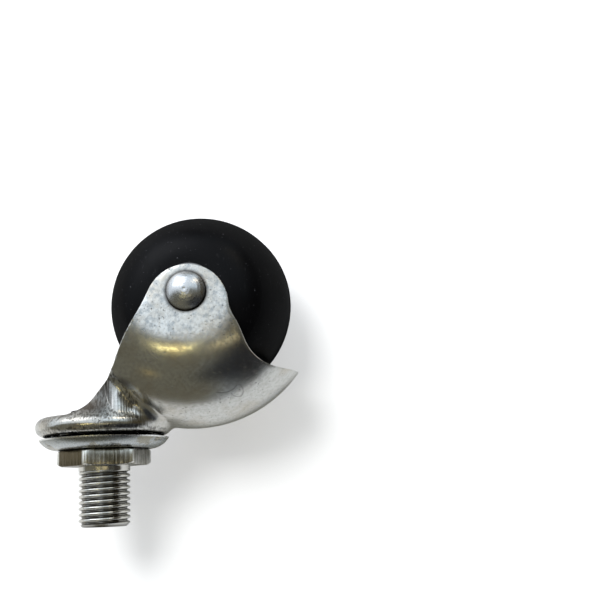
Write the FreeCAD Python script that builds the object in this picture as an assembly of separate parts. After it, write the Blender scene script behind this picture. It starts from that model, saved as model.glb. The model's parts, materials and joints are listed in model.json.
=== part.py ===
import FreeCAD, Part
import math
import os

from FreeCAD import Vector

# Hooded ball castor with a threaded stem. Millimetres.
# The origin is the centre of the hexagon's upper face, where the stem seats on a leg.
# +Z runs up the stem, +Y along the axle, and the ball trails towards -X.

# Stem, turned in one piece with its hexagon and its kingpin
stud_r = 6.6
stud_length = 15.4
stud_chamfer = 1.0
hex_across_flats = 20.8
hex_height = 4.2
hex_chamfer = 0.55
hex_turn = -21.0
kingpin_r = 4.5
peen_spread = 2.1
peen_height = 2.2
peen_r = kingpin_r + peen_spread

# Ball wheel
ball_r = 23.76
ball_flat_width = 1.65 * ball_r
ball_shoulder_r = 0.5 * ball_r
parting_ridge_height = 0.12
parting_ridge_width = 0.7

# Axle rivet and what runs on it
axle_r = 3.0
rivet_head_r = 4.85
rivet_head_rim = 0.6
rivet_head_dome = 2.2
rivet_dimple_r = 0.6
rivet_dimple_depth = 0.12
sleeve_wall = 1.5
spacer_wall = 4.5
spacer_thickness = 0.5
spacer_r = axle_r + spacer_wall

# Yoke, pressed from one sheet: swivel cup, trumpet neck and hood
sheet = 2.0
flange_r = 17.6
neck_r = flange_r - 4.2
neck_flare_r = 15.0
neck_wall_r = flange_r - 1.3
neck_corner_x = -3.6
neck_corner_r = 3.0
crease_r = 3.0
groove_floor = 1.65
ear_r = 10.3
ear_below_axle = 6.8
ear_front_angle = -26
ear_rear_angle = 184

# Clearances
running_clearance = 0.05
race_gap = 0.3
groove_gap = 0.15
bearing_gap = 0.36
rim_gap = 0.75
side_gap = 0.2
washer_gap = 0.15
ball_to_hood = 5.34
crown_below_lip = 0.85

# How far a cut runs past what it cuts, and how near two points count as one
overcut = 1.0
same_place = 0.01

# Ring of bearing balls inside the cup's rim
bearing_count = 13
bearing_inset = 6.4
bearing_pitch_r = flange_r - bearing_inset
bearing_ball_r = bearing_pitch_r * math.sin(math.pi / bearing_count) - bearing_gap / 2

# Top race, a pressed saucer under the hexagon
race_sheet = 1.2
race_flat_r = bearing_pitch_r + bearing_ball_r * 0.56
race_rim_r = race_flat_r + 4.15
race_drop = 2.8
race_bulge = 0.6

# Washer over the peened end of the kingpin
washer_overlap = 2.0
washer_thickness = 1.5
washer_r = peen_r + washer_overlap

# Levels worked out from the sizes above
race_top = -hex_height
race_under = race_top - race_sheet
race_rim_z = race_top - race_drop
lip_z = race_rim_z - rim_gap
bearing_z = race_under - race_gap - bearing_ball_r
flange_under = bearing_z - bearing_ball_r - groove_gap - groove_floor
flange_floor = flange_under + sheet
flange_height = lip_z - flange_under
ear_inner = ball_flat_width / 2 + side_gap + spacer_thickness
ear_outer = ear_inner + sheet

# Hood over the ball, and the axle's place behind and below the stem's seat. The hood is
# rounded about a line in front of the axle and below it, so it gapes most at the crown.
hood_forward = 2.0
hood_below = 2.1
hood_r = ball_r + ball_to_hood + sheet + math.hypot(hood_forward, hood_below)
axle_trail = ball_r + 2.54
axle_drop = hood_r - hood_below + crown_below_lip - lip_z
axle_point = Vector(-axle_trail, 0, -axle_drop)
hood_centre = axle_point + Vector(hood_forward, 0, -hood_below)
up = Vector(0, 0, 1)
across = Vector(0, 1, 0)

# Rolled rim of the cup, and the neck's flare that touches it from below
rim_roll_r = flange_height * 0.513
rim_centre = Vector(flange_r - rim_roll_r, 0, flange_under + rim_roll_r)
lip_r = rim_centre.x + math.sqrt(rim_roll_r ** 2 - (lip_z - rim_centre.z) ** 2)
flare_centre_r = neck_r + neck_flare_r
flare_drop = math.sqrt((neck_flare_r + rim_roll_r) ** 2 - (flare_centre_r - rim_centre.x) ** 2)
flare_centre = Vector(flare_centre_r, 0, rim_centre.z - flare_drop)
flare_touch = rim_centre + (flare_centre - rim_centre).normalize() * rim_roll_r


def line(a, b):
    """Straight edge between two points."""
    return Part.LineSegment(a, b).toShape()


def arc(a, b, c):
    """Round edge from a through b to c."""
    return Part.Arc(a, b, c).toShape()


def arc_about(centre, a, b):
    """Round edge from a to b, the short way round a centre."""
    half_way = (a - centre) + (b - centre)
    return arc(a, centre + half_way.normalize() * (a - centre).Length, b)


def dome(rim, tip, centre_line):
    """Round edge from rim to tip, as a ball's section whose centre is on the centre line."""
    height = (rim - tip).dot(centre_line)
    reach = ((rim - tip) - centre_line * height).Length
    ball = (reach ** 2 + height ** 2) / (2 * height)
    return arc_about(tip + centre_line * ball, rim, tip)


def curve(points, start, end):
    """Smooth edge through the given points that leaves and arrives in the given directions."""
    spline = Part.BSplineCurve()
    spline.interpolate(Points=points, InitialTangent=start, FinalTangent=end)
    return spline.toShape()


def face(edges):
    return Part.Face(Part.Wire(edges))


def polygon(points):
    return Part.Face(Part.makePolygon(points + [points[0]]))


def radial(r, z):
    """Point of a section that is turned about the stem's axis."""
    return Vector(r, 0, z)


def turned_about_stem(section):
    return section.revolve(Vector(0, 0, 0), up, 360)


def disc_about_stem(r, z, height):
    return Part.makeCylinder(r, height, Vector(0, 0, z), up)


def rod_on_axle(r, half_length):
    """Cylinder on the axle's line, centred on the ball."""
    start = axle_point - across * half_length
    return Part.makeCylinder(r, 2 * half_length, start, across)


def beside_axle(x, z):
    """Point of the yoke's side view, in shares of the ball's radius from the axle."""
    return axle_point + Vector(x, 0, z) * ball_r


def bowed(a, b, share, bow):
    """Point part of the way from a to b in the side view, bowed to the rear by a share of the run."""
    run = b - a
    return a + run * share + Vector(-abs(run.z), 0, abs(run.x)) * bow


def make_threaded_stem():
    """Stud, chamfered hexagon, kingpin and its peened end, as one turned bar."""
    washer_top = flange_under - washer_gap
    peen_top = washer_top - washer_thickness
    bottom = peen_top - peen_height
    stud = face([
        line(radial(0, 0), radial(stud_r, 0)),
        line(radial(stud_r, 0), radial(stud_r, stud_length - stud_chamfer)),
        line(radial(stud_r, stud_length - stud_chamfer), radial(stud_r - stud_chamfer, stud_length)),
        line(radial(stud_r - stud_chamfer, stud_length), radial(0, stud_length)),
        line(radial(0, stud_length), radial(0, 0)),
    ])
    kingpin = face([
        line(radial(0, race_top), radial(kingpin_r, race_top)),
        line(radial(kingpin_r, race_top), radial(kingpin_r, peen_top)),
        line(radial(kingpin_r, peen_top), radial(peen_r, peen_top)),
        dome(radial(peen_r, peen_top), radial(0, bottom), up),
        line(radial(0, bottom), radial(0, race_top)),
    ])
    stem = turned_about_stem(stud).fuse([make_hexagon(), turned_about_stem(kingpin)])
    return stem.removeSplitter()


def make_hexagon():
    """Hexagon whose corners are turned off by a cone at both faces."""
    corner_r = hex_across_flats / math.sqrt(3)
    corners = []
    for step in range(6):
        angle = math.radians(60 * step + hex_turn)
        corners.append(Vector(corner_r * math.cos(angle), corner_r * math.sin(angle), race_top))
    blank = polygon(corners).extrude(up * hex_height)
    chamfer_r = corner_r - hex_chamfer * 1.9
    barrel = turned_about_stem(face([
        line(radial(0, race_top), radial(chamfer_r, race_top)),
        line(radial(chamfer_r, race_top), radial(corner_r, race_top + hex_chamfer)),
        line(radial(corner_r, race_top + hex_chamfer), radial(corner_r, -hex_chamfer)),
        line(radial(corner_r, -hex_chamfer), radial(chamfer_r, 0)),
        line(radial(chamfer_r, 0), radial(0, 0)),
        line(radial(0, 0), radial(0, race_top)),
    ]))
    return blank.common(barrel)


def make_top_race():
    """Saucer with a flat middle and a rounded wall, sheared level at its rim."""
    shoulder = radial(race_flat_r, race_top)
    rim = radial(race_rim_r, race_rim_z)
    chord = rim - shoulder
    outward = Vector(-chord.z, 0, chord.x).normalize()
    wall_r = (chord.Length ** 2 / 4 + race_bulge ** 2) / (2 * race_bulge)
    centre = (shoulder + rim) * 0.5 - outward * (wall_r - race_bulge)
    inner_r = wall_r - race_sheet
    inner_rim = radial(centre.x + math.sqrt(inner_r ** 2 - (race_rim_z - centre.z) ** 2), race_rim_z)
    inner_flat = radial(centre.x + math.sqrt(inner_r ** 2 - (race_under - centre.z) ** 2), race_under)
    return turned_about_stem(face([
        line(radial(kingpin_r, race_top), shoulder),
        arc_about(centre, shoulder, rim),
        line(rim, inner_rim),
        arc_about(centre, inner_rim, inner_flat),
        line(inner_flat, radial(kingpin_r, race_under)),
        line(radial(kingpin_r, race_under), radial(kingpin_r, race_top)),
    ]))


def make_bearing_balls():
    """The loose balls of the swivel bearing, evenly spaced round the kingpin."""
    balls = []
    for index in range(bearing_count):
        angle = 2 * math.pi * index / bearing_count
        x = bearing_pitch_r * math.cos(angle)
        y = bearing_pitch_r * math.sin(angle)
        balls.append(Part.makeSphere(bearing_ball_r, Vector(x, y, bearing_z)))
    return balls


def make_retaining_washer():
    """Washer that the peened end holds under the yoke."""
    z = flange_under - washer_gap - washer_thickness
    washer = disc_about_stem(washer_r, z, washer_thickness)
    return washer.cut(disc_about_stem(kingpin_r, z, washer_thickness))


def make_cup_blank():
    """Round swivel cup of the yoke before it is hollowed: a flat floor and a rolled rim."""
    floor_edge = radial(rim_centre.x, flange_under)
    lip = radial(lip_r, lip_z)
    return turned_about_stem(face([
        line(radial(0, flange_under), floor_edge),
        arc_about(rim_centre, floor_edge, lip),
        line(lip, radial(0, lip_z)),
        line(radial(0, lip_z), radial(0, flange_under)),
    ]))


def make_cup_hollow():
    """Space inside the swivel cup, with the groove that the bearing balls run in."""
    floor_r = rim_centre.x - sheet * 0.5
    wall_r = flange_r - sheet
    wall_z = flange_floor + flange_height * 0.12
    lip_inner_r = lip_r - sheet * 0.8
    above = lip_z + overcut
    hollow = turned_about_stem(polygon([
        radial(0, flange_floor),
        radial(floor_r, flange_floor),
        radial(wall_r, wall_z),
        radial(lip_inner_r, above),
        radial(0, above),
    ]))
    groove = Part.makeTorus(bearing_pitch_r, bearing_ball_r + groove_gap, Vector(0, 0, bearing_z), up)
    pin_hole = disc_about_stem(kingpin_r + running_clearance, flange_under - overcut, sheet + 2 * overcut)
    return hollow.fuse([groove, pin_hole])


def make_neck_outside():
    """Trumpet about the stem's axis whose flare runs smoothly into the cup's rolled rim."""
    low = -axle_drop
    waist = radial(neck_r, flare_centre.z)
    lip = radial(lip_r, lip_z)
    return turned_about_stem(face([
        line(radial(0, low), radial(neck_r, low)),
        line(radial(neck_r, low), waist),
        arc_about(flare_centre, waist, flare_touch),
        arc_about(rim_centre, flare_touch, lip),
        line(lip, radial(0, lip_z)),
        line(radial(0, lip_z), radial(0, low)),
    ]))


def make_neck_inside():
    """Inner side of the trumpet, up to the floor of the swivel cup."""
    low = -axle_drop
    inner_r = neck_r - sheet
    flare_r = neck_flare_r + sheet
    waist = radial(inner_r, flare_centre.z)
    climb = flange_under - flare_centre.z
    top = radial(flare_centre.x - math.sqrt(flare_r ** 2 - climb ** 2), flange_under)
    return turned_about_stem(face([
        line(radial(0, low), radial(inner_r, low)),
        line(radial(inner_r, low), waist),
        arc_about(flare_centre, waist, top),
        line(top, radial(0, flange_under)),
        line(radial(0, flange_under), radial(0, low)),
    ]))


def make_neck_wall(inset):
    """Straight round wall behind the trumpet, from the hood to the cup, with rounded front corners."""
    low = -axle_drop
    round_wall = Part.makeCylinder(neck_wall_r - inset, flange_floor - low, Vector(0, 0, low), up)
    reach = 2 * neck_wall_r
    front = Part.makeBox(reach, 2 * reach, flange_floor - low, Vector(neck_corner_x - inset, -reach, low))
    wall = round_wall.cut(front)
    corners = []
    for edge in wall.Edges:
        upright = abs(edge.tangentAt(edge.FirstParameter).z) > 0.99
        if upright and abs(edge.CenterOfMass.x - (neck_corner_x - inset)) < same_place:
            corners.append(edge)
    return wall.makeFillet(neck_corner_r - inset / 2, corners)


def make_hood(inset):
    """Dome over the ball: flat cheeks and one arch from ear to ear; inset makes its inner side."""
    arch_centre = hood_r - ear_outer
    arch_r = ear_outer - inset
    diagonal = arch_r * math.sqrt(0.5)

    def point(rho, y):
        return hood_centre + Vector(0, y, -rho)

    section = face([
        line(point(0, -arch_r), point(arch_centre, -arch_r)),
        arc(point(arch_centre, -arch_r), point(arch_centre + diagonal, -diagonal),
            point(arch_centre + arch_r, 0)),
        arc(point(arch_centre + arch_r, 0), point(arch_centre + diagonal, diagonal),
            point(arch_centre, arch_r)),
        line(point(arch_centre, arch_r), point(0, arch_r)),
        line(point(0, arch_r), point(0, -arch_r)),
    ])
    return section.revolve(hood_centre, across, 360)


def make_side_cutter():
    """Side view of the blanked sheet: front edge, round ear, rear edge and pointed tail."""
    ear_centre = axle_point + up * (ear_r - ear_below_axle)

    def ear_point(degrees):
        angle = math.radians(degrees)
        return ear_centre + Vector(math.cos(angle), 0, math.sin(angle)) * ear_r

    def ear_heading(degrees):
        angle = math.radians(degrees)
        return Vector(math.sin(angle), 0, -math.cos(angle))

    lip = radial(0.47 * flange_r, flare_touch.z)
    ear_front = ear_point(ear_front_angle)
    ear_rear = ear_point(ear_rear_angle)
    tail = beside_axle(-1.068, 0.777)
    beyond_tail = beside_axle(-1.6, 0.777)
    front_edge = curve([
        lip,
        bowed(ear_front, lip, 0.90, 0.067),
        bowed(ear_front, lip, 0.81, 0.102),
        bowed(ear_front, lip, 0.67, 0.093),
        bowed(ear_front, lip, 0.53, 0.093),
        bowed(ear_front, lip, 0.38, 0.067),
        bowed(ear_front, lip, 0.20, 0.039),
        ear_front,
    ], Vector(-1, 0, -0.25), ear_heading(ear_front_angle))
    rear_edge = curve([
        ear_rear,
        beside_axle(-0.523, 0.359),
        beside_axle(-0.622, 0.606),
        beside_axle(-0.768, 0.737),
        beside_axle(-0.951, 0.777),
        tail,
    ], ear_heading(ear_rear_angle), Vector(-1, 0, 0))
    top_rear = Vector(beyond_tail.x, 0, 0)
    top_front = Vector(lip.x, 0, 0)
    outline = face([
        front_edge,
        arc(ear_front, ear_point(-90), ear_rear),
        rear_edge,
        line(tail, beyond_tail),
        line(beyond_tail, top_rear),
        line(top_rear, top_front),
        line(top_front, lip),
    ])
    reach = 2 * ear_outer
    outline.translate(across * -reach)
    return outline.extrude(across * (2 * reach))


def creases(blank):
    """Edges where the hood's skin runs into the neck and the cup's rim."""
    found = []
    skin = make_hood(0).Shells[0]
    for edge in blank.Edges:
        curved = edge.Curve.TypeId == "Part::GeomBSplineCurve"
        middle = edge.valueAt((edge.FirstParameter + edge.LastParameter) / 2)
        on_hood = skin.distToShape(Part.Vertex(middle))[0] < same_place
        if curved and on_hood and edge.CenterOfMass.z > flare_centre.z - sheet:
            found.append(edge)
    return found


def make_yoke():
    """Hood, neck and swivel cup drawn from one sheet."""
    blank = make_hood(0).fuse([make_neck_outside(), make_neck_wall(0)]).removeSplitter()
    blank = blank.makeFillet(crease_r, creases(blank))
    inside = make_hood(sheet).fuse([make_neck_inside(), make_neck_wall(sheet)])
    shell = blank.cut(inside).common(make_side_cutter()).fuse(make_cup_blank())
    yoke = shell.cut(make_cup_hollow()).cut(rod_on_axle(axle_r, ear_outer + overcut))
    return yoke.removeSplitter()


def make_axle_rivet():
    """Plain shank with a domed head spun over at each ear, and the tool's dimple in each head."""
    head_end = ear_outer + rivet_head_rim
    tip = head_end + rivet_head_dome

    def point(rho, y):
        return axle_point + Vector(rho, y, 0)

    head = face([
        line(point(0, 0), point(axle_r, 0)),
        line(point(axle_r, 0), point(axle_r, ear_outer)),
        line(point(axle_r, ear_outer), point(rivet_head_r, ear_outer)),
        line(point(rivet_head_r, ear_outer), point(rivet_head_r, head_end)),
        dome(point(rivet_head_r, head_end), point(0, tip), across * -1),
        line(point(0, tip), point(0, 0)),
    ]).revolve(axle_point, across, 360)
    dimple = polygon([
        point(0, tip - rivet_dimple_depth),
        point(2 * rivet_dimple_r, tip + rivet_dimple_depth),
        point(0, tip + rivet_dimple_depth),
    ]).revolve(axle_point, across, 360)
    left = head.cut(dimple)
    return left.fuse(left.mirror(axle_point, across)).removeSplitter()


def make_axle_sleeve():
    """Steel tube pressed into the ball; the rivet is its bearing."""
    half = ball_flat_width / 2
    tube = rod_on_axle(axle_r + running_clearance + sleeve_wall, half)
    return tube.cut(rod_on_axle(axle_r + running_clearance, half + overcut))


def make_spacer_washer(side):
    """Thin washer between the ball and one ear; side is 1 for +Y and -1 for -Y."""
    start = axle_point + across * (side * (ear_inner - spacer_thickness))
    washer = Part.makeCylinder(spacer_r, spacer_thickness, start, across * side)
    return washer.cut(Part.makeCylinder(axle_r, spacer_thickness, start, across * side))


def make_ball():
    """Moulded ball with softly rounded flats at the axle and a ridge where its mould parted."""
    half = ball_flat_width / 2
    slab = rod_on_axle(ball_r + overcut, half)
    body = Part.makeSphere(ball_r - parting_ridge_height, axle_point).common(slab)
    shoulders = []
    for edge in body.Edges:
        if edge.Closed and abs(abs(edge.CenterOfMass.y) - half) < same_place:
            shoulders.append(edge)
    body = body.makeFillet(ball_shoulder_r, shoulders)
    ridge = rod_on_axle(ball_r, parting_ridge_width / 2)
    ridge = ridge.cut(rod_on_axle(ball_r - overcut, parting_ridge_width))
    bore = rod_on_axle(axle_r + running_clearance + sleeve_wall, half + overcut)
    return body.fuse(ridge).cut(bore).removeSplitter()


def save(name, shape):
    """Writes one sub-part, checked to be a sound solid."""
    solids = shape.Solids
    print(name, "solids", len(solids), "valid", shape.isValid(), "volume", round(shape.Volume, 1))
    part = solids[0] if len(solids) == 1 else shape
    part.exportStep(os.path.join("parts", name + ".step"))


def main():
    os.makedirs("parts", exist_ok=True)
    save("threaded_stem", make_threaded_stem())
    save("top_race", make_top_race())
    save("retaining_washer", make_retaining_washer())
    for number, ball in enumerate(make_bearing_balls(), start=1):
        save("bearing_ball_%02d" % number, ball)
    save("yoke", make_yoke())
    save("axle_rivet", make_axle_rivet())
    save("spacer_washer_left", make_spacer_washer(1))
    save("spacer_washer_right", make_spacer_washer(-1))
    save("axle_sleeve", make_axle_sleeve())
    save("ball_wheel", make_ball())


main()
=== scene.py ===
import json
import logging
import math
from collections.abc import Iterable
from dataclasses import dataclass
from enum import Enum

import bpy
from bpy.types import Material, Node, NodeSocket, NodeTree, Object
from mathutils import Matrix, Vector


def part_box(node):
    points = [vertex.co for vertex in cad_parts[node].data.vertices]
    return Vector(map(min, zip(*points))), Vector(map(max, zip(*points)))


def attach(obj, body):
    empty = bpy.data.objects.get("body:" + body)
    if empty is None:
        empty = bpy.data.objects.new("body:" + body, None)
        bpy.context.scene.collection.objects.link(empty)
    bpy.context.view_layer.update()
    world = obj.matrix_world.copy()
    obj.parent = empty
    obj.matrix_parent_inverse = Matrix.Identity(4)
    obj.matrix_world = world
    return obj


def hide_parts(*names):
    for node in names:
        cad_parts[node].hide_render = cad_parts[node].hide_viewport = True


# Ball castor with a threaded stem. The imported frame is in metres, with its origin at the
# centre of the hexagon's upper face, +Z up the stem and +Y along the axle. Sizes below are
# in millimetres and angles in degrees, and MM turns millimetres into the frame's metres.

MM = 0.001

# How near two corners join, and how many faces round an edge
MERGE_MM = 0.0005
EDGE_STEPS = 2

LOG = logging.getLogger("castor")

# Input numbers of the Mix node's two colours
UNDER = 6
OVER = 7

# Where a mark on the castor starts to show, and where it shows in full
Span = tuple[float, float]

# Low and high end of a pattern's strength, and the value that either end turns into
Ramp = tuple[float, float, float, float]

# Place, direction or scale along X, Y and Z
Triple = tuple[float, float, float]

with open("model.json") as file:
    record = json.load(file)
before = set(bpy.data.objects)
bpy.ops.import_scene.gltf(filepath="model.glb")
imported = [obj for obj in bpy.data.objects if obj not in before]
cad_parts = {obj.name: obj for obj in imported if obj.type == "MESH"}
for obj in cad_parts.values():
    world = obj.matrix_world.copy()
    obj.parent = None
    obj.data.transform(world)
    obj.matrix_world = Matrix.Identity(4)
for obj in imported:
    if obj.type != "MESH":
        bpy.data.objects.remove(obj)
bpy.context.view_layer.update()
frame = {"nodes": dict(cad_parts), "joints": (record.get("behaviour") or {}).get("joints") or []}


def joint_at(name: str) -> Triple:
    """Reads a joint's place from the frame.

    Args:
        name: Name of the joint.

    Returns:
        Its place in millimetres.
    """
    joint = next(joint for joint in frame["joints"] if joint["name"] == name)
    x, y, z = joint["pos_m"]
    return (x / MM, y / MM, z / MM)


def radius_of(node: str) -> float:
    """Reads the radius of a round CAD node from its length along X.

    Args:
        node: Name of the CAD node.

    Returns:
        The radius in millimetres.
    """
    low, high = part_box(node)
    return (high.x - low.x) / 2 / MM


# The stem's axis and the axle, each as a point on it and the directions across it, and the
# sizes that the finishes follow
STEM = (0.0, 0.0, 0.0)
ACROSS_STEM = (1.0, 1.0, 0.0)
AXLE = joint_at("wheel_spin")
ACROSS_AXLE = (1.0, 0.0, 1.0)
RIVET_R = radius_of("axle_rivet")
WASHER_R = radius_of("spacer_washer_left")
RACE_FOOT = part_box("top_race")[0].z / MM


class Body(str, Enum):
    """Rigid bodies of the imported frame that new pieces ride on."""

    STEM = "stem"
    FORK = "fork"


class Slot(str, Enum):
    """Material slots of the record."""

    STEM = "stem_steel"
    RACE = "race_zinc"
    YOKE = "yoke_zinc"
    RIVET = "rivet_steel"
    BEARING = "bearing_steel"
    BALL = "ball_rubber"


def linear(code: str) -> tuple[float, float, float, float]:
    """Turns an sRGB hex code into the linear colour that a shader socket takes.

    Args:
        code: Six hex digits with a leading hash.

    Returns:
        Red, green, blue and an alpha of 1.
    """
    parts = [int(code[start : start + 2], 16) / 255 for start in (1, 3, 5)]
    lin = [c / 12.92 if c <= 0.04045 else ((c + 0.055) / 1.055) ** 2.4 for c in parts]
    return (lin[0], lin[1], lin[2], 1.0)


def add_node(tree: NodeTree, kind: str, inputs: dict | tuple = (), **options: object) -> Node:
    """Adds one node, sets its options and fills or links its inputs.

    Args:
        tree: Node tree of the finish or of the sky.
        kind: Blender's type of node, without the leading "ShaderNode".
        inputs: Value, output socket or node for each input, in order or by name or number.
        options: Options of the node by name.

    Returns:
        The new node.
    """
    node = tree.nodes.new("ShaderNode" + kind)
    for option, value in options.items():
        setattr(node, option, value)
    keyed = inputs if isinstance(inputs, dict) else dict(enumerate(inputs))
    for key, value in keyed.items():
        if isinstance(value, Node):
            value = next(socket for socket in value.outputs if socket.enabled)
        if isinstance(value, NodeSocket):
            tree.links.new(value, node.inputs[key])
        else:
            node.inputs[key].default_value = value
    return node


def empty_material(name: str) -> tuple[Material, NodeTree]:
    """Starts a material without nodes.

    Args:
        name: Name of the finish.

    Returns:
        The material and its node tree.
    """
    material = bpy.data.materials.new(name)
    material.use_nodes = True
    material.node_tree.nodes.clear()
    return material, material.node_tree


def start_finish(name: str) -> tuple[Material, NodeTree, Node]:
    """Starts a material whose patterns and marks are laid out in millimetres.

    Args:
        name: Name of the finish.

    Returns:
        The material, its node tree and the node with the shaded point in millimetres.
    """
    material, tree = empty_material(name)
    metres = add_node(tree, "TexCoord").outputs["Object"]
    point = add_node(tree, "VectorMath", {0: metres, "Scale": 1 / MM}, operation="SCALE")
    return material, tree, point


def offset_from(tree: NodeTree, point: Node, line: Triple, across: Triple) -> Node:
    """Finds where the shaded point lies across a straight line, such as the stem's axis.

    Args:
        tree: Node tree of the finish.
        point: The shaded point.
        line: A point on the line.
        across: 1 for the two directions across the line, 0 for the one along it.

    Returns:
        The node with the offset from the line.
    """
    offset = add_node(tree, "VectorMath", (point, line), operation="SUBTRACT")
    return add_node(tree, "VectorMath", (offset, across), operation="MULTIPLY")


def paint(tree: NodeTree, tone: str, coats: Iterable[tuple[Node, str]]) -> Node:
    """Paints one colour after another over a tone.

    Args:
        tree: Node tree of the finish.
        tone: Hex code of the bare tone.
        coats: Share and hex code of each colour, the lowest coat first.

    Returns:
        The node with the painted colour.
    """
    colour = linear(tone)
    for share, code in coats:
        inputs = {0: share, UNDER: colour, OVER: linear(code)}
        colour = add_node(tree, "Mix", inputs, data_type="RGBA")
    return colour


def emboss(tree: NodeTree, reliefs: Iterable[tuple[Node, float]]) -> Node:
    """Lays one relief over another.

    Args:
        tree: Node tree of the finish.
        reliefs: Height pattern of each relief and its depth in millimetres.

    Returns:
        The node with the direction that the uneven surface faces.
    """
    facing = {}
    for height, depth in reliefs:
        bump = add_node(tree, "Bump", {"Height": height, "Distance": depth * MM, **facing})
        facing = {"Normal": bump}
    return bump


@dataclass(frozen=True)
class Pattern:
    """Cloudy pattern with spots of a real width and layers of finer detail on them."""

    width: float
    layers: float

    def at(self, point: Node) -> dict[str, object]:
        """Inputs of the noise node that draws the pattern at a point in millimetres."""
        return {"Vector": point, "Scale": 1 / self.width, "Detail": self.layers}


@dataclass(frozen=True)
class Scratch:
    """Thin round scratch on the hood's side, as a part of a ring seen along the axle.

    Its middle lies from the ring's centre towards the given X and Z, and it ends on either
    side where the cosine of the angle from there falls to the least one.
    """

    centre: tuple[float, float]
    radius: float
    towards: tuple[float, float]
    least_cosine: float
    width: float = 0.15
    share: float = 0.5


@dataclass(frozen=True)
class ZincSheet:
    """Bright zinc plating on deep-drawn sheet: mottled, with drawing lines, pits and grime, painted
    shade in its hollows and a painted highlight on the ear's edge.
    """

    bright: str = "#D8D8D4"
    grey: str = "#B2B0AA"
    warm: str = "#B0A084"
    stain_and_shade: str = "#3C362F"
    grime_and_shade: str = "#2E2219"
    grease_and_shade: str = "#0D0B09"
    bare: str = "#F6F8F8"
    blue: str = "#7E888E"

    # The real grain and drawing lines are too fine to show, so they are drawn one or two
    # pixels wide. The other patterns have their real width
    spangle: Pattern = Pattern(0.9, 4)
    grain: Pattern = Pattern(0.28, 3)
    bloom: Pattern = Pattern(1.2, 8)
    patch: Pattern = Pattern(7.0, 5)
    pit: Pattern = Pattern(0.5, 1)
    line: Pattern = Pattern(0.45, 2)
    line_squeeze: Triple = (1.0, 1.0, 0.03)

    speckled: Ramp = (0.44, 0.58, 0.0, 0.34)
    patchy: Ramp = (0.45, 0.7, 0.0, 0.4)
    pitted: Ramp = (0.69, 0.74, 0.0, 0.75)
    bloomed: Ramp = (0.45, 0.68, 0.0, 0.6)
    dirty: Ramp = (0.46, 0.6, 0.0, 0.7)
    uneven: Ramp = (0.35, 0.65, 0.75, 1.0)
    satin: Ramp = (0.35, 0.65, 0.18, 0.25)

    # Heights, reaches from the stem's axis and distances from the axle where marks fade in
    ear_z: Span = (-27.0, -32.0)
    neck_reach: Span = (18.4, 17.3)
    neck_z: Span = (-30.0, -24.0)
    trumpet_shade_x: Span = (-7.0, -4.2)
    trumpet_shade_top_z: Span = (-9.8, -13.6)
    trumpet_shade_foot_z: Span = (-34.0, -29.0)
    rivet_shade_ring: float = 0.9
    worn_highlit_edge: Span = (9.7, 10.0)
    highlit_above_axle: float = 3.0
    cup_reach: Span = (15.6, 15.4)
    cup_z: Span = (-12.4, -12.2)
    scratches: tuple[Scratch, ...] = (
        Scratch((-37.0, -16.6), 1.5, (-0.7, 0.7), -0.3),
        Scratch((-33.5, -21.0), 5.0, (-0.3, 1.0), 0.85),
    )

    # How much rougher a mark leaves the zinc, and how deep the reliefs are
    bloom_blur: float = 0.08
    trumpet_shade_blur: float = 0.12
    grease_blur: float = 0.4
    grain_depth: float = 0.003
    spangle_depth: float = 0.0018
    line_depth: float = 0.05
    pit_depth: float = 0.03

    def build(self) -> Material:
        """Makes the material of the yoke.

        Returns:
            The finished material.
        """
        # Zinc on drawn sheet is a soft, cloudy mirror to the eye: it shows bright and dark
        # bands of the room, blurred by its grain, with dull stains between them
        material, tree, point = start_finish("zinc_on_drawn_sheet")
        place = add_node(tree, "SeparateXYZ", (point,))
        beside_stem = offset_from(tree, point, STEM, ACROSS_STEM)
        reach = add_node(tree, "VectorMath", (beside_stem,), operation="LENGTH").outputs["Value"]
        beside_axle = offset_from(tree, point, AXLE, ACROSS_AXLE)
        away = add_node(tree, "VectorMath", (beside_axle,), operation="LENGTH").outputs["Value"]

        # Spangle, warm patches and pits of the plating
        spangle = add_node(tree, "TexNoise", self.spangle.at(point))
        grain = add_node(tree, "TexNoise", self.grain.at(point))
        patch = add_node(tree, "TexNoise", self.patch.at(point))
        pit = add_node(tree, "TexNoise", self.pit.at(point))
        speckled = add_node(tree, "MapRange", (spangle, *self.speckled))
        patchy = add_node(tree, "MapRange", (patch, *self.patchy))
        pitted = add_node(tree, "MapRange", (pit, *self.pitted))

        # Blue-grey bloom on the ears
        bloom = add_node(tree, "TexNoise", self.bloom.at(point))
        bloomed = add_node(tree, "MapRange", (bloom, *self.bloomed))
        on_ear = add_node(tree, "MapRange", (place.outputs["Z"], *self.ear_z))
        bloomed = add_node(tree, "Math", (bloomed, on_ear), operation="MULTIPLY")

        # Drawing lines run up and down the neck, where the sheet slid over the die
        drawn = add_node(tree, "Mapping", {"Vector": point, "Scale": self.line_squeeze})
        line = add_node(tree, "TexNoise", self.line.at(drawn))
        near = add_node(tree, "MapRange", (reach, *self.neck_reach))
        above = add_node(tree, "MapRange", (place.outputs["Z"], *self.neck_z))
        neck = add_node(tree, "Math", (near, above), operation="MULTIPLY")
        lined = add_node(tree, "Math", (line, neck), operation="MULTIPLY")
        dirty = add_node(tree, "MapRange", (lined, *self.dirty))

        # Painted shade in the trumpet of the neck, under the hood, with a brown tint like a film
        shaded_trumpet = add_node(tree, "MapRange", (place.outputs["X"], *self.trumpet_shade_x))
        under = add_node(tree, "MapRange", (place.outputs["Z"], *self.trumpet_shade_top_z))
        hooded = add_node(tree, "MapRange", (place.outputs["Z"], *self.trumpet_shade_foot_z))
        uneven = add_node(tree, "MapRange", (patch, *self.uneven))
        for mask in (under, hooded, uneven):
            shaded_trumpet = add_node(tree, "Math", (shaded_trumpet, mask), operation="MULTIPLY")
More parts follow.
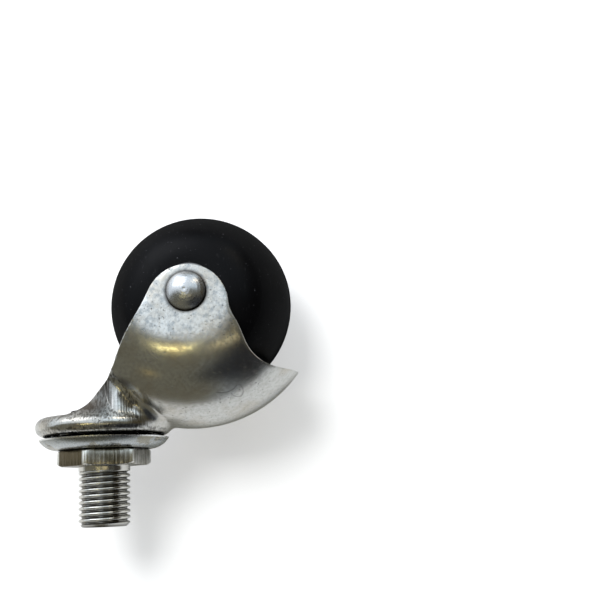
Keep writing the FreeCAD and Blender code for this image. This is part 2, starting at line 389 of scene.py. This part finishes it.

        # Painted shade darkens a ring round the rivet's head, and the ear's round edge above the
        # axle is painted bright, as metal rubbed bare and as a painted highlight
        rivet_shaded = add_node(tree, "MapRange", (away, RIVET_R + self.rivet_shade_ring, RIVET_R))
        edge = add_node(tree, "MapRange", (away, *self.worn_highlit_edge))
        axle_z = AXLE[2]
        beyond = (place.outputs["Z"], axle_z + self.highlit_above_axle, axle_z)
        beyond = add_node(tree, "MapRange", beyond)
        edge = add_node(tree, "Math", (edge, beyond), operation="MULTIPLY")

        # Grease and painted shade blacken the inside of the cup, the dark gap under the race
        inside = add_node(tree, "MapRange", (reach, *self.cup_reach))
        in_cup = add_node(tree, "MapRange", (place.outputs["Z"], *self.cup_z))
        greased_and_shaded = add_node(tree, "Math", (inside, in_cup), operation="MULTIPLY")

        scored = 0.0
        for scratch in self.scratches:
            mark = self.score(tree, point, scratch)
            scored = add_node(tree, "Math", (scored, mark), operation="MAXIMUM")

        tone = paint(tree, self.bright, (
            (speckled, self.grey), (patchy, self.warm), (bloomed, self.blue),
            (shaded_trumpet, self.stain_and_shade), (dirty, self.stain_and_shade), (pitted, self.grime_and_shade),
            (scored, self.grime_and_shade), (rivet_shaded, self.grime_and_shade), (edge, self.bare),
            (greased_and_shaded, self.grease_and_shade),
        ))
        rough = add_node(tree, "MapRange", (spangle, *self.satin))
        for mark, blur in (
            (bloomed, self.bloom_blur), (shaded_trumpet, self.trumpet_shade_blur), (greased_and_shaded, self.grease_blur),
        ):
            rough = add_node(tree, "Math", (mark, blur, rough), operation="MULTIPLY_ADD")
        unpitted = add_node(tree, "Math", (1.0, pitted), operation="SUBTRACT")
        relief = emboss(tree, (
            (grain, self.grain_depth), (spangle, self.spangle_depth),
            (lined, self.line_depth), (unpitted, self.pit_depth),
        ))
        inputs = {"Base Color": tone, "Metallic": 1.0, "Roughness": rough, "Normal": relief}
        shader = add_node(tree, "BsdfPrincipled", inputs)
        add_node(tree, "OutputMaterial", {"Surface": shader})
        return material

    def score(self, tree: NodeTree, point: Node, scratch: Scratch) -> Node:
        """Adds one scratch to the finish.

        Args:
            tree: Node tree of the finish.
            point: The shaded point.
            scratch: The scratch.

        Returns:
            Node whose value is above 0 in the scratch.
        """
        x, z = scratch.centre
        offset = offset_from(tree, point, (x, 0.0, z), ACROSS_AXLE)
        away = add_node(tree, "VectorMath", (offset,), operation="LENGTH").outputs["Value"]
        away = add_node(tree, "Math", (away, scratch.radius), operation="SUBTRACT")
        away = add_node(tree, "Math", (away,), operation="ABSOLUTE")
        line = add_node(tree, "MapRange", (away, scratch.width, 0.0, 0.0, scratch.share))

        # Only the part of the ring that lies in the scratch's direction is kept
        facing = Vector(scratch.towards).normalized()
        heading = add_node(tree, "VectorMath", (offset,), operation="NORMALIZE")
        towards = (heading, (facing.x, 0.0, facing.y))
        cosine = add_node(tree, "VectorMath", towards, operation="DOT_PRODUCT").outputs["Value"]
        kept = add_node(tree, "Math", (cosine, scratch.least_cosine), operation="GREATER_THAN")
        return add_node(tree, "Math", (line, kept), operation="MULTIPLY")


@dataclass(frozen=True)
class ZincRace:
    """Zinc plating on the turned-down saucer, tan where it is stained, black inside with grease and
    painted shade.
    """

    bright: str = "#BCC0C1"
    bare: str = "#F2F2F0"
    dull: str = "#86867F"
    stain_and_shade: str = "#8C8268"
    scratch: str = "#4A4640"
    grease_and_shade: str = "#0D0B09"

    mottle: Pattern = Pattern(0.5, 4)
    patch: Pattern = Pattern(5.0, 5)
    rub: Pattern = Pattern(0.9, 2)
    rub_squeeze: Triple = (0.25, 0.25, 1.6)

    stained: Ramp = (0.54, 0.56, 0.0, 0.55)
    scratched: Ramp = (0.62, 0.68, 0.0, 0.6)
    satin: Ramp = (0.3, 0.7, 0.22, 0.34)

    # Reach and height of two points on the saucer's outer wall, and where marks fade in:
    # inwards from the line between the two, or upwards from the rim
    shoulder: tuple[float, float] = (12.6, -4.2)
    rim: tuple[float, float] = (16.75, RACE_FOOT)
    inner: Span = (-0.4, -0.55)
    highlit_over_rim: Span = (0.45, 0.35)
    darker_over_rim: Ramp = (1.9, 0.5, 0.0, 0.7)

    grease_blur: float = 0.4
    mottle_depth: float = 0.006

    def build(self) -> Material:
        """Makes the material of the top race.

        Returns:
            The finished material.
        """
        # Zinc on a pressed and handled saucer is duller to the eye than on the yoke: a grey sheen
        # with sharp tan stains, dark hairlines and one bright line at the rim, which is a painted
        # highlight on worn zinc
        material, tree, point = start_finish("zinc_on_saucer")
        place = add_node(tree, "SeparateXYZ", (point,))
        beside_stem = offset_from(tree, point, STEM, ACROSS_STEM)
        reach = add_node(tree, "VectorMath", (beside_stem,), operation="LENGTH").outputs["Value"]
        mottle = add_node(tree, "TexNoise", self.mottle.at(point))
        patch = add_node(tree, "TexNoise", self.patch.at(point))

        # A dried stain ends in a sharp edge, and rubbing leaves thin lines round the saucer
        stained = add_node(tree, "MapRange", (patch, *self.stained))
        rubbed = add_node(tree, "Mapping", {"Vector": point, "Scale": self.rub_squeeze})
        rub = add_node(tree, "TexNoise", self.rub.at(rubbed))
        scratched = add_node(tree, "MapRange", (rub, *self.scratched))

        # Grease and painted shade blacken the inside, which lies behind the straight line from
        # shoulder to rim
        chord = (Vector(self.rim) - Vector(self.shoulder)).normalized()
        outwards = Vector((-chord.y, chord.x))
        start = outwards.dot(Vector(self.shoulder))
        out = add_node(tree, "Math", (reach, outwards.x, -start), operation="MULTIPLY_ADD")
        out = (place.outputs["Z"], outwards.y, out)
        out = add_node(tree, "Math", out, operation="MULTIPLY_ADD")
        greased_and_shaded = add_node(tree, "MapRange", (out, *self.inner))

        # The rim is painted bright, as worn-bare zinc and a painted highlight, and above it the
        # zinc is darker in a band that fades upwards
        over_rim = add_node(tree, "Math", (place.outputs["Z"], self.rim[1]), operation="SUBTRACT")
        worn_and_highlit = add_node(tree, "MapRange", (over_rim, *self.highlit_over_rim))
        dulled = add_node(tree, "MapRange", (over_rim, *self.darker_over_rim))

        tone = paint(tree, self.bright, (
            (dulled, self.dull), (stained, self.stain_and_shade), (scratched, self.scratch),
            (worn_and_highlit, self.bare), (greased_and_shaded, self.grease_and_shade),
        ))
        rough = add_node(tree, "MapRange", (mottle, *self.satin))
        rough = (greased_and_shaded, self.grease_blur, rough)
        rough = add_node(tree, "Math", rough, operation="MULTIPLY_ADD")
        relief = emboss(tree, ((mottle, self.mottle_depth),))
        inputs = {"Base Color": tone, "Metallic": 1.0, "Roughness": rough, "Normal": relief}
        shader = add_node(tree, "BsdfPrincipled", inputs)
        add_node(tree, "OutputMaterial", {"Surface": shader})
        return material


@dataclass(frozen=True)
class PlatedBar:
    """Zinc plating on a turned and thread-rolled steel bar, with painted shade in the thread's
    roots.
    """

    bright: str = "#DAD8D2"
    bare: str = "#F6F4EC"
    dull: str = "#8F8B7C"
    stain_and_shade: str = "#5A503A"
    root_shade: str = "#2E2920"

    # The die's real lines are too fine to show and are drawn two pixels wide
    mottle: Pattern = Pattern(0.5, 5)
    patch: Pattern = Pattern(4.0, 4)
    line: Pattern = Pattern(0.5, 3)
    line_squeeze: Triple = (1.0, 1.0, 0.03)

    dulled: Ramp = (0.4, 0.6, 0.1, 0.8)
    soiled: Ramp = (0.5, 0.62, 0.0, 0.6)
    satin: Ramp = (0.3, 0.7, 0.14, 0.24)

    stud_z: Span = (0.0, 0.3)
    shaded_flats_x: Span = (2.2, 2.9)
    root_shade_reach: Ramp = (6.5, 5.9, 0.0, 0.7)
    highlit_corner_reach: Span = (11.5, 11.75)

    mottle_depth: float = 0.004
    line_depth: float = 0.16

    def build(self) -> Material:
        """Makes the material of the stem.

        Returns:
            The finished material.
        """
        # Zinc on a turned bar is bright and hard-edged to the eye on the rolled thread,
        # and brownish and streaked on the hexagon, which nothing rubs
        material, tree, point = start_finish("zinc_on_turned_bar")
        place = add_node(tree, "SeparateXYZ", (point,))
        beside_stem = offset_from(tree, point, STEM, ACROSS_STEM)
        reach = add_node(tree, "VectorMath", (beside_stem,), operation="LENGTH").outputs["Value"]
        mottle = add_node(tree, "TexNoise", self.mottle.at(point))
        patch = add_node(tree, "TexNoise", self.patch.at(point))
        stud = add_node(tree, "MapRange", (place.outputs["Z"], *self.stud_z))
        hexagon = add_node(tree, "Math", (1.0, stud), operation="SUBTRACT")

        # The hexagon keeps the lines of the die that it was drawn through
        drawn = add_node(tree, "Mapping", {"Vector": point, "Scale": self.line_squeeze})
        line = add_node(tree, "TexNoise", self.line.at(drawn))
        lined = add_node(tree, "Math", (line, hexagon), operation="MULTIPLY")
        soiled = add_node(tree, "MapRange", (lined, *self.soiled))

        # It has dulled all round, and its front flats are painted darker and brown, a painted dark
        # reflection
        dulled = add_node(tree, "MapRange", (patch, *self.dulled))
        dulled = add_node(tree, "Math", (dulled, hexagon), operation="MULTIPLY")
        shaded_flats = add_node(tree, "MapRange", (place.outputs["X"], *self.shaded_flats_x))
        shaded_flats = add_node(tree, "Math", (shaded_flats, hexagon), operation="MULTIPLY")

        # The thread's crests keep the bright tone and its roots are painted darker as shade, and
        # the hexagon's corners are painted bright, as metal rubbed bare by spanners and as painted
        # highlights
        root_shaded = add_node(tree, "MapRange", (reach, *self.root_shade_reach))
        root_shaded = add_node(tree, "Math", (root_shaded, stud), operation="MULTIPLY")
        bare = add_node(tree, "MapRange", (reach, *self.highlit_corner_reach))

        tone = paint(tree, self.bright, (
            (dulled, self.dull), (soiled, self.stain_and_shade), (shaded_flats, self.stain_and_shade),
            (root_shaded, self.root_shade), (bare, self.bare),
        ))
        rough = add_node(tree, "MapRange", (mottle, *self.satin))
        relief = emboss(tree, ((mottle, self.mottle_depth), (lined, self.line_depth)))
        inputs = {"Base Color": tone, "Metallic": 1.0, "Roughness": rough, "Normal": relief}
        shader = add_node(tree, "BsdfPrincipled", inputs)
        add_node(tree, "OutputMaterial", {"Surface": shader})
        return material


@dataclass(frozen=True)
class SpunSteel:
    """Bright steel with rings from the tool that spun or cut it, and a rim darkened with painted
    shade.
    """

    name: str
    tone: str = "#C8C9CA"
    grime_and_shade: str = "#2E261E"
    rim_r: float = RIVET_R
    rim_shade_width: float = 0.5
    rim_shade_share: float = 0.9

    # The tool's real rings are too fine to show and are drawn three pixels apart
    ring_gap: float = 0.8
    ring_depth: float = 0.006
    waver: Pattern = Pattern(1.6, 2)
    waver_size: float = 0.5
    grain: Pattern = Pattern(0.3, 4)
    grain_depth: float = 0.005
    satin: Ramp = (0.3, 0.7, 0.24, 0.34)

    def build(self) -> Material:
        """Makes the material of the axle rivet and the plain parts that sit on it.

        Returns:
            The finished material.
        """
        # Steel burnished by a spinning tool is the brightest metal here to the eye: a clear round
        # highlight that faint rings break up, and a dark line of painted shade at the rim
        material, tree, point = start_finish(self.name)
        beside_axle = offset_from(tree, point, AXLE, ACROSS_AXLE)
        reach = add_node(tree, "VectorMath", (beside_axle,), operation="LENGTH").outputs["Value"]
        waver = add_node(tree, "TexNoise", self.waver.at(point))
        grain = add_node(tree, "TexNoise", self.grain.at(point))
        swing = add_node(tree, "Math", (waver, self.waver_size, reach), operation="MULTIPLY_ADD")
        turns = add_node(tree, "Math", (swing, 2 * math.pi / self.ring_gap), operation="MULTIPLY")
        rings = add_node(tree, "Math", (turns,), operation="SINE")

        # Painted shade: a dark ring just inside the rim
        rim_shaded = (reach, self.rim_r - self.rim_shade_width, self.rim_r, 0.0, self.rim_shade_share)
        rim_shaded = add_node(tree, "MapRange", rim_shaded)

        tone = paint(tree, self.tone, ((rim_shaded, self.grime_and_shade),))
        rough = add_node(tree, "MapRange", (grain, *self.satin))
        relief = emboss(tree, ((rings, self.ring_depth), (grain, self.grain_depth)))
        inputs = {"Base Color": tone, "Metallic": 1.0, "Roughness": rough, "Normal": relief}
        shader = add_node(tree, "BsdfPrincipled", inputs)
        add_node(tree, "OutputMaterial", {"Surface": shader})
        return material


@dataclass(frozen=True)
class BearingSteel:
    """Polished bearing steel under a film of dark grease, painted darker as shade in the gap."""

    bare: str = "#8E8C88"
    grease_and_shade: str = "#17130F"
    film: Pattern = Pattern(1.2, 3)
    greased_and_shaded: Ramp = (0.3, 0.5, 0.6, 1.0)
    gloss: Ramp = (0.35, 0.65, 0.1, 0.3)

    def build(self) -> Material:
        """Makes the material of the bearing balls.

        Returns:
            The finished material.
        """
        # Polished balls under grease and painted shade are dark to the eye, with small sharp
        # highlights
        material, tree, point = start_finish("polished_bearing_steel")
        film = add_node(tree, "TexNoise", self.film.at(point))
        greased_and_shaded = add_node(tree, "MapRange", (film, *self.greased_and_shaded))
        tone = paint(tree, self.bare, ((greased_and_shaded, self.grease_and_shade),))
        rough = add_node(tree, "MapRange", (film, *self.gloss))
        inputs = {"Base Color": tone, "Metallic": 1.0, "Roughness": rough}
        shader = add_node(tree, "BsdfPrincipled", inputs)
        add_node(tree, "OutputMaterial", {"Surface": shader})
        return material


@dataclass(frozen=True)
class SatinRubber:
    """Black moulded rubber with a satin skin, dust specks and faint scuffs."""

    black: str = "#040405"
    dust: str = "#6E6D72"
    film: float = 0.07
    film_ior: float = 2.0

    # The mould's real grain is too fine to show and is drawn about as wide as a pixel
    skin: Pattern = Pattern(0.2, 2)
    skin_depth: float = 0.004
    speck: Pattern = Pattern(0.42, 1)
    cloud: Pattern = Pattern(6.0, 4)
    scuff: Pattern = Pattern(0.5, 2)
    scuff_turn: Triple = (0.4, 0.9, 0.2)
    scuff_squeeze: Triple = (1.0, 1.0, 0.08)

    specked: Ramp = (0.75, 0.79, 0.0, 0.4)
    scuffed: Ramp = (0.66, 0.8, 0.0, 0.06)
    satin: Ramp = (0.35, 0.65, 0.32, 0.42)

    def build(self) -> Material:
        """Makes the material of the ball.

        Returns:
            The finished material.
        """
        # Moulded rubber is nearly black to the eye, with one broad soft sheen where its
        # thin waxy skin mirrors the light, and single grey specks of dust
        material, tree, point = start_finish("satin_moulded_rubber")
        skin = add_node(tree, "TexNoise", self.skin.at(point))
        speck = add_node(tree, "TexNoise", self.speck.at(point))
        cloud = add_node(tree, "TexNoise", self.cloud.at(point))
        slant = {"Vector": point, "Rotation": self.scuff_turn, "Scale": self.scuff_squeeze}
        wiped = add_node(tree, "Mapping", slant)
        scuff = add_node(tree, "TexNoise", self.scuff.at(wiped))
        specked = add_node(tree, "MapRange", (speck, *self.specked))
        scuffed = add_node(tree, "MapRange", (scuff, *self.scuffed))
        tone = paint(tree, self.black, ((specked, self.dust), (scuffed, self.dust)))
        rough = add_node(tree, "MapRange", (cloud, *self.satin))
        relief = emboss(tree, ((skin, self.skin_depth),))
        inputs = {
            "Base Color": tone, "Specular IOR Level": 0.0, "Normal": relief,
            "Coat Weight": self.film, "Coat IOR": self.film_ior, "Coat Roughness": rough,
            "Coat Normal": relief,
        }
        shader = add_node(tree, "BsdfPrincipled", inputs)
        add_node(tree, "OutputMaterial", {"Surface": shader})
        return material


def select_only(*objects: Object) -> None:
    """Makes the given objects the selected ones and the first of them active.

    Args:
        objects: Objects to select.
    """
    bpy.ops.object.select_all(action="DESELECT")
    for obj in objects:
        obj.select_set(True)
    bpy.context.view_layer.objects.active = objects[0]


def apply_modifier(obj: Object, kind: str, **options: object) -> None:
    """Adds one modifier and applies it.

    Args:
        obj: Object that gets the modifier.
        kind: Blender's type of modifier.
        options: Options of the modifier by name.
    """
    modifier = obj.modifiers.new(kind.lower(), kind)
    for option, value in options.items():
        setattr(modifier, option, value)
    select_only(obj)
    bpy.ops.object.modifier_apply(modifier=modifier.name)


def merged_copy(node: str, name: str) -> Object:
    """Copy of a CAD node whose triangles are joined, so that its edges can be worked.

    Args:
        node: Name of the CAD node.
        name: Name of the copy.

    Returns:
        The copy, at the origin like its node.
    """
    copy = bpy.data.objects.new(name, frame["nodes"][node].data.copy())
    bpy.context.scene.collection.objects.link(copy)
    copy.data.materials.clear()
    select_only(copy)
    bpy.ops.object.mode_set(mode="EDIT")
    bpy.ops.mesh.select_all(action="SELECT")
    bpy.ops.mesh.customdata_custom_splitnormals_clear()
    bpy.ops.mesh.remove_doubles(threshold=MERGE_MM * MM)
    bpy.ops.object.mode_set(mode="OBJECT")
    return copy


def soften_edges(obj: Object, width: float, sharper_than: float) -> None:
    """Rounds the sharp edges a little, as shearing, rolling and plating leave them.

    Args:
        obj: Merged copy of a CAD node.
        width: Width of the rounding in millimetres.
        sharper_than: Least angle in degrees of an edge that is rounded.
    """
    limit = math.radians(sharper_than)
    apply_modifier(
        obj, "BEVEL", width=width * MM, segments=EDGE_STEPS, limit_method="ANGLE",
        angle_limit=limit, use_clamp_overlap=False,
    )
    select_only(obj)
    bpy.ops.object.shade_smooth_by_angle(angle=limit)


def dress(obj: Object, material: Material) -> None:
    """Gives an object one finish and logs it.

    Args:
        obj: CAD node or new piece.
        material: Finish of the whole object.
    """
    obj.data.materials.clear()
    obj.data.materials.append(material)
    for polygon in obj.data.polygons:
        polygon.material_index = 0
    LOG.info("%s: %s, %d faces", obj.name, material.name, len(obj.data.polygons))


def stand_for(obj: Object, node: str, body: Body) -> None:
    """Puts a new piece in the place of a CAD node and on its body.

    Args:
        obj: New piece.
        node: Name of the CAD node.
        body: Body that the piece moves with.
    """
    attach(obj, body.value)
    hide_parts(node)


@dataclass
class Fork:
    """Pressed yoke with its rivet and spacer washers."""

    sheared_edge: float = 0.22
    rivet_edge: float = 0.3
    sharper_than: float = 50.0
    zinc: ZincSheet = ZincSheet()
    spun: SpunSteel = SpunSteel("spun_rivet_steel")
    stamped: SpunSteel = SpunSteel("stamped_washer_steel", rim_r=WASHER_R)

    def build(self) -> None:
        """Rounds the edges of the yoke and the rivet and dresses all of the fork."""
        yoke = merged_copy("yoke", "pressed_yoke")
        soften_edges(yoke, self.sheared_edge, self.sharper_than)
        stand_for(yoke, "yoke", Body.FORK)
        dress(yoke, self.zinc.build())
        rivet = merged_copy("axle_rivet", "spun_rivet")
        soften_edges(rivet, self.rivet_edge, self.sharper_than)
        stand_for(rivet, "axle_rivet", Body.FORK)
        dress(rivet, self.spun.build())
        stamped = self.stamped.build()
        for node in ("spacer_washer_left", "spacer_washer_right"):
            dress(frame["nodes"][node], stamped)


@dataclass
class Wheel:
    """Moulded ball with its steel sleeve."""

    rubber: SatinRubber = SatinRubber()
    sleeve: SpunSteel = SpunSteel("drawn_sleeve_steel", tone="#B5B3AF")

    def build(self) -> None:
        """Dresses the ball and its sleeve."""
        dress(frame["nodes"]["ball_wheel"], self.rubber.build())
        dress(frame["nodes"]["axle_sleeve"], self.sleeve.build())


@dataclass
class SwivelHead:
    """Threaded stem, top race, retaining washer and the ring of bearing balls."""

    # Right-hand thread above a plain collar. Each step leads outwards and along to the crest
    collar: float = 1.3
    crest_r: float = 6.56
    pitch: float = 1.5
    depth: float = 0.8
    corner: float = 0.1
    flank_angle: float = 22.0
    crest_flat: float = 0.24
    crest_steps: tuple[tuple[float, float], ...] = ((0.14, 0.08), (0.1, 0.16))
    turns: int = 14
    steps: int = 64

    hex_edge: float = 0.14
    rim_edge: float = 0.2
    sharper_than: float = 35.0
    bar: PlatedBar = PlatedBar()
    zinc: ZincRace = ZincRace()
    polished: BearingSteel = BearingSteel()

    def build(self) -> None:
        """Makes the thread, rounds the edges and dresses the pieces that the yoke swivels on."""
        stem = self.make_threaded_stem()
        stand_for(stem, "threaded_stem", Body.STEM)
        dress(stem, self.bar.build())
        zinc = self.zinc.build()
        race = merged_copy("top_race", "saucer")
        soften_edges(race, self.rim_edge, self.sharper_than)
        stand_for(race, "top_race", Body.STEM)
        dress(race, zinc)
        dress(frame["nodes"]["retaining_washer"], zinc)
        polished = self.polished.build()
        for name, node in frame["nodes"].items():
            if name.startswith("bearing_ball"):
                dress(node, polished)

    def make_threaded_stem(self) -> Object:
        """Hexagon, collar and kingpin of the CAD stem with a real thread on the stud.

        Returns:
            The stem as one object of closed shells.
        """
        stem = merged_copy("threaded_stem", "threaded_bar")
        self.cut_level(stem, self.collar, keep_above=False)
        soften_edges(stem, self.hex_edge, self.sharper_than)
        stud = merged_copy("threaded_stem", "stud_blank")
        self.cut_level(stud, self.collar - self.pitch / 2, keep_above=True)
        thread = self.roll_thread()
        # The blank's chamfered end is what the last turns of the thread run out on
        apply_modifier(thread, "BOOLEAN", operation="INTERSECT", object=stud, solver="EXACT")
        bpy.data.objects.remove(stud)
        select_only(thread)
        bpy.ops.object.shade_smooth_by_angle(angle=math.radians(self.sharper_than))
        select_only(stem, thread)
        bpy.ops.object.join()
        return stem

    def cut_level(self, obj: Object, height: float, keep_above: bool) -> None:
        """Cuts a piece level across the stem's axis and closes the cut.

        Args:
            obj: Piece to cut.
            height: Height of the cut in millimetres.
            keep_above: Whether the upper part is kept.
        """
        select_only(obj)
        bpy.ops.object.mode_set(mode="EDIT")
        bpy.ops.mesh.select_all(action="SELECT")
        bpy.ops.mesh.bisect(
            plane_co=(0, 0, height * MM), plane_no=(0, 0, 1), use_fill=True,
            clear_inner=keep_above, clear_outer=not keep_above,
        )
        bpy.ops.object.mode_set(mode="OBJECT")

    def thread_section(self) -> list[tuple[float, float]]:
        """Works out one pitch of the thread's outline from the foot of a flank.

        Returns:
            Steps outwards and along the stem from each corner to the next.
        """
        crest_out = sum(out for out, along in self.crest_steps)
        crest_along = sum(along for out, along in self.crest_steps)
        side = self.depth - self.corner - crest_out
        rise = side * math.tan(math.radians(self.flank_angle))
        root_flat = self.pitch - 2 * (rise + self.corner + crest_along) - self.crest_flat
        return [
            (side, rise), *self.crest_steps, (0, self.crest_flat),
            *((-out, along) for out, along in reversed(self.crest_steps)),
            (-side, rise), (-self.corner, self.corner), (0, root_flat), (self.corner, self.corner),
        ]

    def roll_thread(self) -> Object:
        """Turns one pitch of the thread's outline up the stud as a right-hand screw.

        Returns:
            The closed thread, longer than the stud at both ends.
        """
        foot = self.crest_r - self.depth + self.corner
        start = self.collar - 2 * self.pitch
        bpy.ops.object.select_all(action="DESELECT")
        bpy.ops.mesh.primitive_plane_add(size=self.corner * MM)
        thread = bpy.context.object
        thread.name = "thread"
        bpy.ops.object.mode_set(mode="EDIT")
        bpy.ops.mesh.select_all(action="SELECT")
        bpy.ops.mesh.merge(type="CENTER")
        bpy.ops.transform.translate(value=(foot * MM, 0, start * MM))
        for out, along in self.thread_section():
            step = {"value": (out * MM, 0, along * MM)}
            bpy.ops.mesh.extrude_vertices_move(TRANSFORM_OT_translate=step)
        bpy.ops.object.mode_set(mode="OBJECT")
        apply_modifier(
            thread, "SCREW", axis="Z", angle=2 * math.pi, screw_offset=self.pitch * MM,
            iterations=self.turns, steps=self.steps, render_steps=self.steps,
        )
        bpy.ops.object.mode_set(mode="EDIT")
        bpy.ops.mesh.select_all(action="SELECT")
        bpy.ops.mesh.remove_doubles(threshold=MERGE_MM * MM)
        bpy.ops.object.mode_set(mode="OBJECT")
        self.cut_level(thread, self.collar - self.pitch, keep_above=True)
        self.cut_level(thread, start + (self.turns - 1) * self.pitch, keep_above=False)
        bpy.ops.object.mode_set(mode="EDIT")
        bpy.ops.mesh.select_all(action="SELECT")
        bpy.ops.mesh.normals_make_consistent(inside=False)
        bpy.ops.object.mode_set(mode="OBJECT")
        return thread


@dataclass(frozen=True)
class SoftBox:
    """Evenly lit rectangle of the studio's sky with soft edges, as the castor sees it.

    Its azimuth turns from the camera's side, -Y, towards +X, and its height rises towards -Z,
    which is up in the picture, because the castor lies with its stem down.
    """

    azimuth: float
    height: float
    half_wide: float
    half_high: float
    edge: float
    tone: str
    strength: float

    def facing(self) -> Vector:
        """Direction from the castor to the middle of the box."""
        turn = math.radians(self.azimuth)
        lift = math.radians(self.height)
        level = math.cos(lift)
        return Vector((math.sin(turn) * level, -math.cos(turn) * level, -math.sin(lift)))

    def side(self) -> Vector:
        """Level direction along the box."""
        turn = math.radians(self.azimuth)
        return Vector((math.cos(turn), math.sin(turn), 0))


@dataclass
class Studio:
    """Pale floor behind the lying castor, soft lights in the sky and the camera."""

    floor_y: float = 26.0
    floor_size: float = 900.0
    floor_tone: str = "#F4F4F4"
    floor_clear: float = 0.5

    # Camera fitted to the outlines of the ball, the rivet's head and the stem
    camera_at: Triple = (-69.7, -252.8, 9.3)
    camera_looks: Triple = (0.06628, 0.97851, -0.19527)
    camera_up: Triple = (-0.05296, -0.19198, -0.97997)
    lens_px: float = 977.0
    frame_px: float = 600.0
    sensor: float = 36.0
    nearest: float = 10.0

    fill_at: Triple = (71.0, -405.0, -183.0)
    fill_size: float = 180.0
    fill_watts: float = 2.7
    backdrop: str = "#FEFEFE"
    room: str = "#6C6A5E"
    boxes: tuple[SoftBox, ...] = (
        SoftBox(-125, -35, 35, 40, 20, "#C4CACF", 0.4),
        SoftBox(-20, 48, 20, 24, 18, "#B9C6D0", 2.0),
        SoftBox(42, 40, 42, 30, 10, "#E4EEF8", 1.3),
        SoftBox(-75, 10, 10, 40, 12, "#4A4333", 0.9),
        SoftBox(-50, -42, 21, 15, 18, "#303236", 0.8),
        SoftBox(44, 45, 17, 14, 8, "#F2F7FF", 3.5),
        SoftBox(-47, 48, 4, 4, 5, "#FFF4E0", 4.0),
        SoftBox(14, -14, 6.5, 0.8, 2.2, "#FFEFA8", 4.4),
        SoftBox(-16, -19, 9, 1.2, 3, "#F0E0B0", 1.0),
        SoftBox(45, -43, 3, 2, 3, "#F0DCA4", 0.4),
    )

    def build(self) -> None:
        """Sets up floor, camera, sky and fill light."""
        self.add_floor()
        self.add_camera()
        self.add_sky()
        self.add_fill()

    def add_floor(self) -> None:
        """Lays the pale floor behind the castor, which hides nothing when seen from its back."""
        bpy.ops.object.select_all(action="DESELECT")
        bpy.ops.mesh.primitive_plane_add(
            size=self.floor_size * MM, location=(0, self.floor_y * MM, 0),
            rotation=(math.pi / 2, 0, 0),
        )
        floor = bpy.context.object
        floor.name = "floor"
        material, tree = empty_material("pale_floor")
        tone = add_node(tree, "BsdfDiffuse", {"Color": linear(self.floor_tone)})
        clear = add_node(tree, "BsdfTransparent")
        # The metal mirrors a greyer floor than the camera sees: half of it is the room behind
        thin = add_node(tree, "MixShader", (self.floor_clear, tone, clear))
        behind = add_node(tree, "NewGeometry").outputs["Backfacing"]
        one_way = add_node(tree, "MixShader", (behind, thin, clear))
        add_node(tree, "OutputMaterial", {"Surface": one_way})
        floor.data.materials.append(material)

    def add_camera(self) -> None:
        """Sets the camera at the photographed angle."""
        looks = Vector(self.camera_looks).normalized()
        right = looks.cross(Vector(self.camera_up)).normalized()
        turn = Matrix((right, right.cross(looks), -looks)).transposed()
        data = bpy.data.cameras.new("camera")
        data.sensor_width = self.sensor
        data.lens = self.lens_px / self.frame_px * self.sensor
        data.clip_start = self.nearest * MM
        camera = bpy.data.objects.new("camera", data)
        camera.matrix_world = Matrix.Translation(Vector(self.camera_at) * MM) @ turn.to_4x4()
        bpy.context.scene.collection.objects.link(camera)
        bpy.context.scene.camera = camera

    def add_fill(self) -> None:
        """Hangs a wide soft light beside the camera, which the metal doesn't mirror."""
        data = bpy.data.lights.new("fill", "AREA")
        data.size = self.fill_size * MM
        data.energy = self.fill_watts
        light = bpy.data.objects.new("fill", data)
        light.location = Vector(self.fill_at) * MM
        light.rotation_euler = (-light.location).to_track_quat("-Z", "Y").to_euler()
        light.visible_glossy = False
        light.visible_camera = False
        bpy.context.scene.collection.objects.link(light)

    def add_sky(self) -> None:
        """Makes a dim room with soft boxes for the metal, and a pale backdrop for the camera."""
        world = bpy.data.worlds.new("studio")
        bpy.context.scene.world = world
        world.use_nodes = True
        tree = world.node_tree
        tree.nodes.clear()
        way = add_node(tree, "TexCoord").outputs["Generated"]
        light = linear(self.room)
        for box in self.boxes:
            light = self.paint_box(tree, way, light, box)
        lit = add_node(tree, "Background", {"Color": light})
        plain = add_node(tree, "Background", {"Color": linear(self.backdrop)})
        seen = add_node(tree, "LightPath").outputs["Is Camera Ray"]
        sky = add_node(tree, "MixShader", (seen, lit, plain))
        add_node(tree, "OutputWorld", {"Surface": sky})

    def paint_box(self, tree: NodeTree, way: NodeSocket, under: object, box: SoftBox) -> Node:
        """Adds one soft box to the sky's colours.

        Args:
            tree: The sky's node tree.
            way: Direction that the sky is seen in.
            under: Colour that the box is painted over.
            box: The soft box.

        Returns:
            The node whose colour has the box in it.
        """
        facing = box.facing()
        side = box.side()
        share = 1.0
        for across, half in ((side, box.half_wide), (facing.cross(side), box.half_high)):
            inner = math.sin(math.radians(half))
            outer = math.sin(math.radians(min(half + box.edge, 90)))
            offset = add_node(tree, "VectorMath", (way, across), operation="DOT_PRODUCT")
            offset = add_node(tree, "Math", (offset.outputs["Value"],), operation="ABSOLUTE")
            band = add_node(
                tree, "MapRange", (offset, outer, inner), interpolation_type="SMOOTHSTEP"
            )
            share = add_node(tree, "Math", (band, share), operation="MULTIPLY")
        # The offsets are the same on the far side of the sky, so only the near half is kept
        ahead = add_node(tree, "VectorMath", (way, facing), operation="DOT_PRODUCT")
        ahead = add_node(tree, "Math", (ahead.outputs["Value"], 0.0), operation="GREATER_THAN")
        share = add_node(tree, "Math", (share, ahead), operation="MULTIPLY")
        glow = Vector(linear(box.tone)[:3]) * box.strength
        inputs = {0: share, UNDER: under, OVER: (*glow, 1.0)}
        return add_node(tree, "Mix", inputs, data_type="RGBA")


def main() -> None:
    """Builds the castor's pieces in order, then the studio."""
    logging.basicConfig(level=logging.INFO, format="%(name)s: %(message)s")
    Fork().build()
    Wheel().build()
    SwivelHead().build()
    Studio().build()
    bpy.context.scene.view_settings.view_transform = "Standard"


if __name__ == "__main__":
    main()
